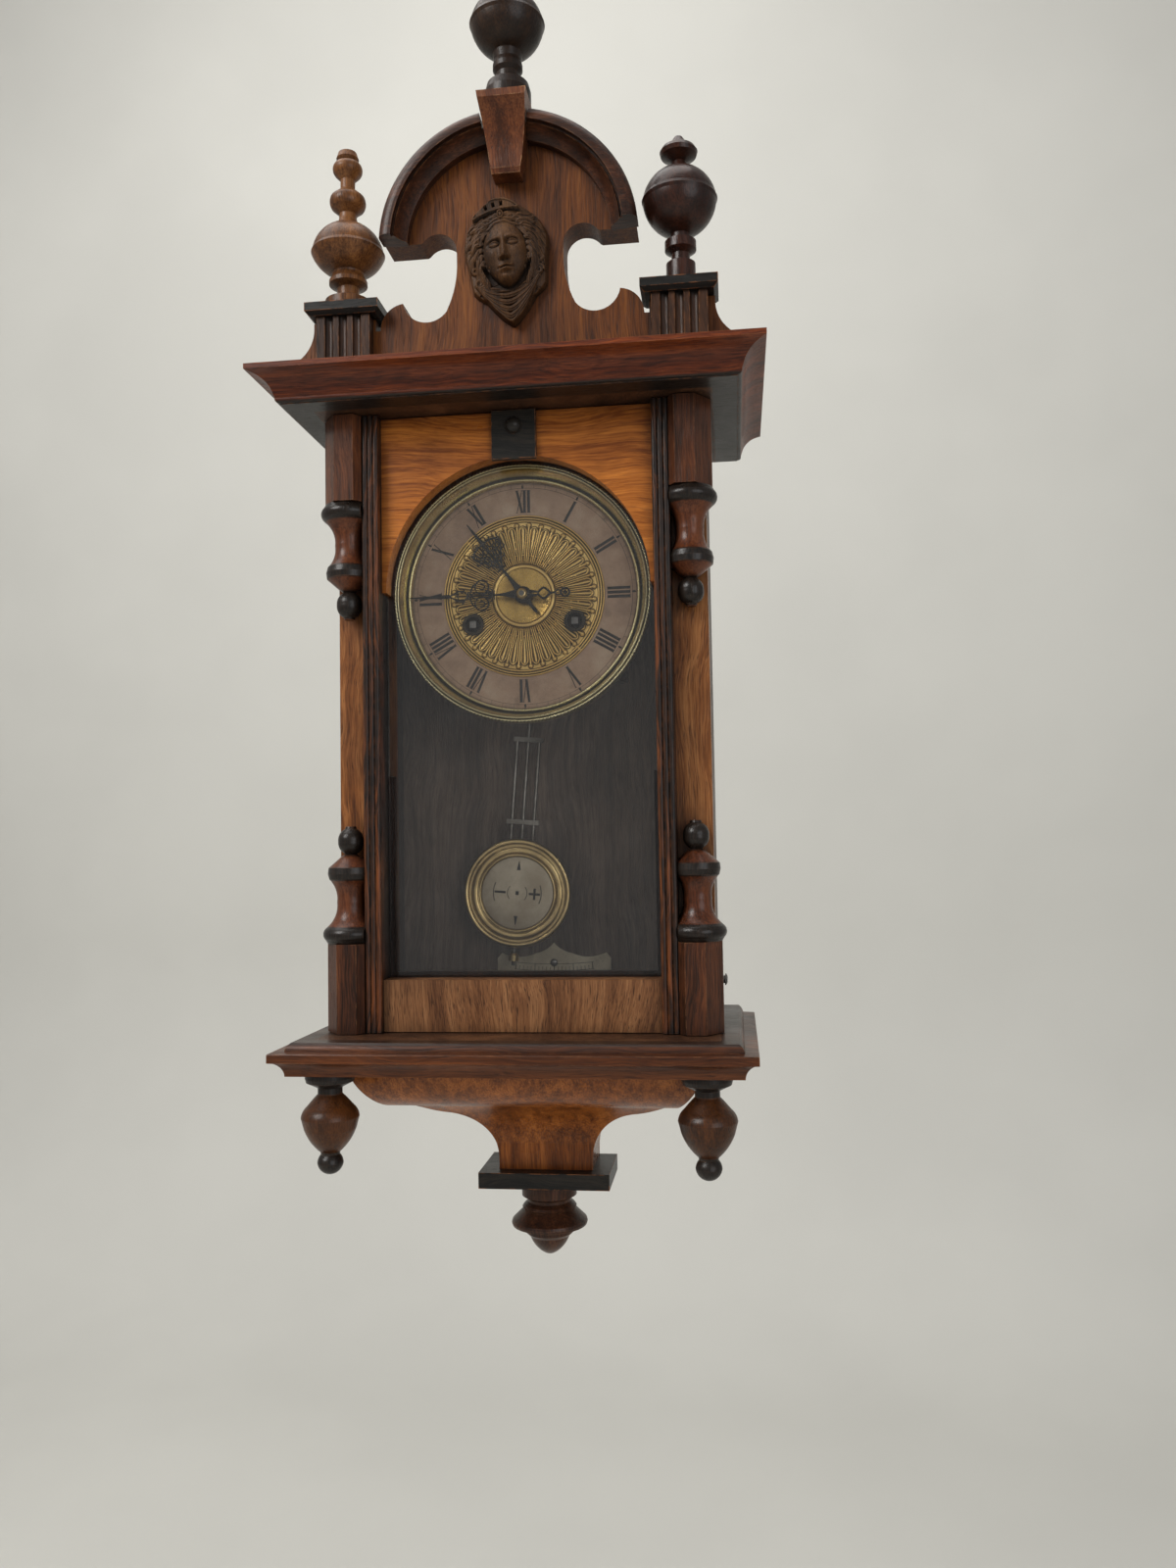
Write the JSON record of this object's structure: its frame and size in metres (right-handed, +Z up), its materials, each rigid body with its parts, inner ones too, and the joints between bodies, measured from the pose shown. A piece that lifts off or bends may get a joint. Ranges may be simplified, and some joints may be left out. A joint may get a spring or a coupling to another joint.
{
  "type": "pendulum wall clock",
  "caption": "Wall clock with carved crest, turned finials, glazed hinged door, brass-centred dial, swinging pendulum and ogee bracket.",
  "frame": {"origin": "centre of the keyhole in the hanger plate, on the wall plane at the back", "axes": "+X to the right seen from the room, +Y into the wall, +Z up"},
  "size_m": [0.29, 0.163, 0.7743],
  "materials": {
    "case_wood": "aged satin varnish",
    "cornice_wood": "dark polished walnut",
    "bracket_wood": "glossy varnish",
    "crest_wood": "aged satin varnish",
    "carved_wood": "dusty, matt",
    "panel_wood": "satin varnish",
    "door_wood": "satin varnish",
    "ebonised_wood": "worn black polish",
    "glass": "clear",
    "dial_paint": "faded matt print",
    "plaque_enamel": "aged enamel",
    "dial_brass": "tarnished",
    "movement_brass": "brushed",
    "pendulum_steel": "dull",
    "blued_steel": "satin",
    "steel": "brushed",
    "iron": "dull",
    "hinge_brass": "dull"
  },
  "bodies": {
    "case": {"back_board": "case_wood", "side_boards": "case_wood", "top_board": "case_wood", "base_board": "case_wood", "cornice": "cornice_wood", "base_moulding": "cornice_wood", "bracket": "bracket_wood", "bracket_plinth": "ebonised_wood", "bottom_finial": "cornice_wood", "drop_finials": "cornice_wood", "crest_board": "crest_wood", "arch_mouldings": "cornice_wood", "keystone": "cornice_wood", "carved_head": "carved_wood", "pedestals": "crest_wood", "pedestal_caps": "ebonised_wood", "finial_left": "crest_wood", "finial_right": "cornice_wood", "finial_top": "cornice_wood", "hanger_plate": "iron", "beat_scale": "plaque_enamel", "case_screws": "iron", "hinge_case_leaves": "hinge_brass", "hinge_pins": "steel", "dial_plate": "steel", "chapter_ring": "dial_paint", "dial_centre": "dial_brass", "bezel": "dial_brass", "winding_eyelets": "dial_brass", "movement_frame": "movement_brass", "movement_brackets": "iron", "gong": "steel"},
    "door": {"door_stiles": "door_wood", "door_bottom_rail": "door_wood", "reeded_strips": "ebonised_wood", "door_head_panel": "panel_wood", "door_glass": "glass", "glass_beads": "door_wood", "head_block": "ebonised_wood", "column_blocks": "door_wood", "balusters": "door_wood", "hinge_door_leaves": "hinge_brass", "hook_screw": "iron"},
    "hook": {"latch_hook": "iron"},
    "minute": {"minute_hand": "blued_steel", "hand_nut": "movement_brass", "centre_arbor": "steel"},
    "hour": {"hour_hand": "blued_steel", "hour_wheel": "movement_brass"},
    "minute_wheel": {"minute_wheel": "movement_brass"},
    "going_barrel": {"going_barrel": "movement_brass"},
    "strike_barrel": {"strike_barrel": "movement_brass"},
    "winding_going": {"winding_arbor_going": "steel"},
    "winding_strike": {"winding_arbor_strike": "steel"},
    "escape_wheel": {"escape_wheel": "movement_brass"},
    "anchor": {"anchor": "steel"},
    "pendulum": {"pendulum_rods": "pendulum_steel", "pendulum_bob": "movement_brass", "rating_nut": "movement_brass"},
    "hammer": {"strike_hammer": "steel"}
  },
  "joints": [
    {"name": "door_hinge", "type": "hinge", "parent": "case", "child": "door", "pos_m": [-0.1127, -0.0852, -0.18], "axis": [0, 0, -1], "range_deg": [0, 120]},
    {"name": "hook_swing", "type": "hinge", "parent": "door", "child": "hook", "pos_m": [0.1128, -0.095, -0.3314], "axis": [1, 0, 0], "range_deg": [-8, 86]},
    {"name": "minute_turn", "type": "hinge", "parent": "case", "child": "minute", "pos_m": [0, -0.09, -0.1027], "axis": [0, 1, 0], "continuous": true},
    {"name": "hour_turn", "type": "hinge", "parent": "case", "child": "hour", "pos_m": [0, -0.09, -0.1027], "axis": [0, 1, 0], "continuous": true},
    {"name": "minute_wheel_turn", "type": "hinge", "parent": "case", "child": "minute_wheel", "pos_m": [0, -0.085, -0.0907], "axis": [0, 1, 0], "continuous": true},
    {"name": "going_barrel_turn", "type": "hinge", "parent": "case", "child": "going_barrel", "pos_m": [0.0308, -0.06, -0.1192], "axis": [0, 1, 0], "continuous": true},
    {"name": "strike_barrel_turn", "type": "hinge", "parent": "case", "child": "strike_barrel", "pos_m": [-0.0308, -0.06, -0.1192], "axis": [0, 1, 0], "continuous": true},
    {"name": "winding_going_turn", "type": "hinge", "parent": "case", "child": "winding_going", "pos_m": [0.0308, -0.06, -0.1192], "axis": [0, 1, 0], "continuous": true},
    {"name": "winding_strike_turn", "type": "hinge", "parent": "case", "child": "winding_strike", "pos_m": [-0.0308, -0.06, -0.1192], "axis": [0, 1, 0], "continuous": true},
    {"name": "escape_turn", "type": "hinge", "parent": "case", "child": "escape_wheel", "pos_m": [0, -0.06, -0.0877], "axis": [0, 1, 0], "continuous": true},
    {"name": "pendulum_swing", "type": "hinge", "parent": "case", "child": "pendulum", "pos_m": [0, -0.028, -0.072], "axis": [0, 1, 0], "range_deg": [-10, 0.5]},
    {"name": "anchor_rock", "type": "hinge", "parent": "case", "child": "anchor", "pos_m": [0, -0.06, -0.072], "axis": [0, 1, 0], "range_deg": [-10.5, 1]},
    {"name": "hammer_lift", "type": "hinge", "parent": "case", "child": "hammer", "pos_m": [0.034, -0.042, -0.0777], "axis": [0, -1, 0], "range_deg": [-1.5, 22]}
  ],
  "couplings": [
    {"joint": "hour_turn", "follows": "minute_turn", "ratio": 0.083333},
    {"joint": "minute_wheel_turn", "follows": "minute_turn", "ratio": -0.33333},
    {"joint": "going_barrel_turn", "follows": "minute_turn", "ratio": -0.16667},
    {"joint": "anchor_rock", "follows": "pendulum_swing", "ratio": 1}
  ]
}
